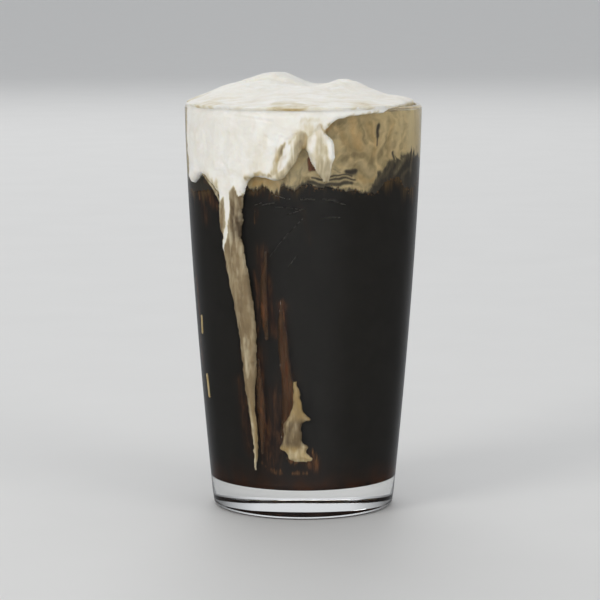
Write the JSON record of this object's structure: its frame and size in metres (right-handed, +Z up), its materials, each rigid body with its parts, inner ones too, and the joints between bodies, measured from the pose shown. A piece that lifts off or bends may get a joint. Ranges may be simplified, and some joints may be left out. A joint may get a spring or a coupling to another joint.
{
  "type": "pint of stout in its glass",
  "caption": "Tall tapered glass filled to the brim with black stout, under a creamy foam head that slumps over the rim and runs down the outside.",
  "frame": {"origin": "middle of the foot, on the surface that the glass stands on", "axes": "+Z up the glass, -Y towards the side where the foam has run over"},
  "size_m": [0.086, 0.0899, 0.1582],
  "materials": {
    "glass": "clear, smooth",
    "stout": "liquid, near black with a red-brown edge",
    "head": "dense creamy foam",
    "smear": "drying tan foam"
  },
  "bodies": {
    "root": {"glass": "glass", "stout": "stout", "head": "head", "smear": "smear"}
  },
  "joints": []
}
